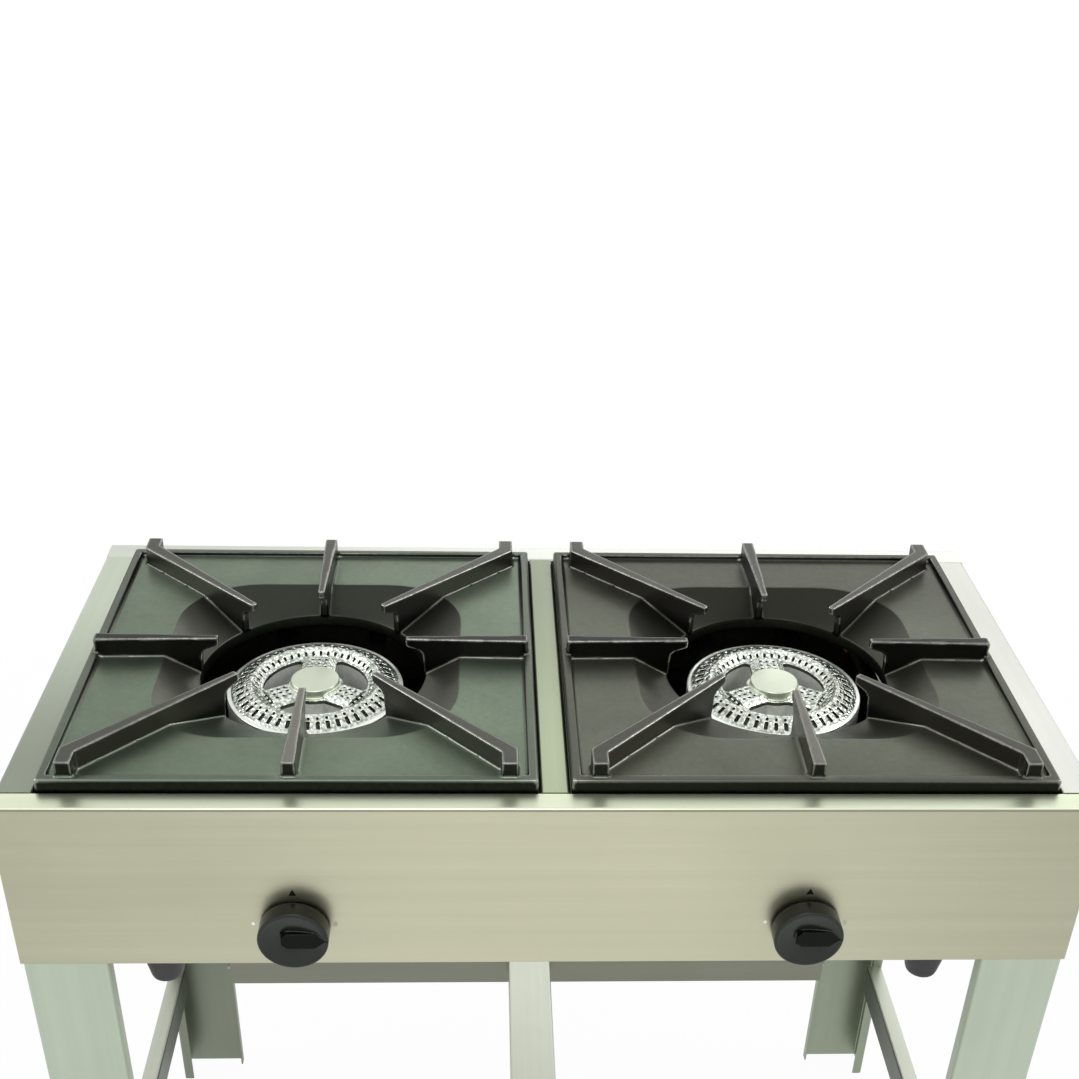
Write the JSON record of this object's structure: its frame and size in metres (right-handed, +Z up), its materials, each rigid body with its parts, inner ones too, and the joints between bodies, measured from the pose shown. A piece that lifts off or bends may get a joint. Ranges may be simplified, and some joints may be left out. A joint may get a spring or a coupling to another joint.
{
  "type": "stock pot range",
  "caption": "Stainless steel gas range on open legs, with lift-off cast iron grates over round ported burners and push-and-turn knobs on the front.",
  "frame": {"origin": "centre of the whole outline, knobs and gas inlet included, at floor level", "axes": "+X to the right along the front as the user faces it, +Y from the front panel to the back, +Z up"},
  "size_m": [1, 0.558, 0.878],
  "materials": {
    "body_steel": "satin",
    "frame_steel": "satin",
    "inner_steel": "satin",
    "fastener_steel": "satin",
    "foot_plastic": "matte",
    "grate_iron": "matte",
    "burner_iron": "satin",
    "base_iron": "matte",
    "brass": "satin",
    "pipe_steel": "satin",
    "stem_steel": "satin",
    "knob_plastic": "semi-gloss"
  },
  "bodies": {
    "body": {"front_panel": "body_steel", "rear_panel": "body_steel", "left_side_panel": "body_steel", "right_side_panel": "body_steel", "centre_rail": "body_steel", "front_left_leg": "frame_steel", "front_right_leg": "frame_steel", "rear_left_leg": "frame_steel", "rear_right_leg": "frame_steel", "left_rail": "frame_steel", "right_rail": "frame_steel", "front_rail": "frame_steel", "rear_rail": "frame_steel", "centre_beam": "frame_steel", "bottom_pan": "inner_steel", "left_burner_supports": "inner_steel", "right_burner_supports": "inner_steel", "pipe_straps": "inner_steel", "leg_nuts": "fastener_steel", "rail_bolts": "fastener_steel", "beam_bolts": "fastener_steel", "body_feet": "foot_plastic", "left_burner_base": "base_iron", "right_burner_base": "base_iron", "left_injector": "brass", "left_tap_body": "brass", "right_injector": "brass", "right_tap_body": "brass", "inlet_nut": "brass", "gas_inlet": "brass", "gas_manifold": "pipe_steel", "manifold_cap": "pipe_steel", "left_feed_tube": "pipe_steel", "right_feed_tube": "pipe_steel"},
    "left_grate_lift": {"left_grate": "grate_iron"},
    "left_head_lift": {"left_burner_head": "burner_iron"},
    "left_push": {"left_thrust_collar": "brass"},
    "left_turn": {"left_knob": "knob_plastic", "left_valve_stem": "stem_steel"},
    "right_grate_lift": {"right_grate": "grate_iron"},
    "right_head_lift": {"right_burner_head": "burner_iron"},
    "right_push": {"right_thrust_collar": "brass"},
    "right_turn": {"right_knob": "knob_plastic", "right_valve_stem": "stem_steel"}
  },
  "joints": [
    {"name": "left_grate_lifts", "type": "slide", "parent": "body", "child": "left_grate_lift", "axis": [0, 0, 1], "range_m": [0, 0.06]},
    {"name": "left_head_lifts", "type": "slide", "parent": "body", "child": "left_head_lift", "axis": [0, 0, 1], "range_m": [0, 0.08]},
    {"name": "left_knob_push", "type": "slide", "parent": "body", "child": "left_push", "axis": [0, 1, 0], "range_m": [0, 0.003], "stiffness_N_per_m": 1500, "springref_m": -0.003},
    {"name": "left_knob_turn", "type": "hinge", "parent": "left_push", "child": "left_turn", "pos_m": [-0.24, -0.253, 0.713], "axis": [0, -1, 0], "range_deg": [0, 180]},
    {"name": "right_grate_lifts", "type": "slide", "parent": "body", "child": "right_grate_lift", "axis": [0, 0, 1], "range_m": [0, 0.06]},
    {"name": "right_head_lifts", "type": "slide", "parent": "body", "child": "right_head_lift", "axis": [0, 0, 1], "range_m": [0, 0.08]},
    {"name": "right_knob_push", "type": "slide", "parent": "body", "child": "right_push", "axis": [0, 1, 0], "range_m": [0, 0.003], "stiffness_N_per_m": 1500, "springref_m": -0.003},
    {"name": "right_knob_turn", "type": "hinge", "parent": "right_push", "child": "right_turn", "pos_m": [0.24, -0.253, 0.713], "axis": [0, -1, 0], "range_deg": [0, 180]}
  ]
}
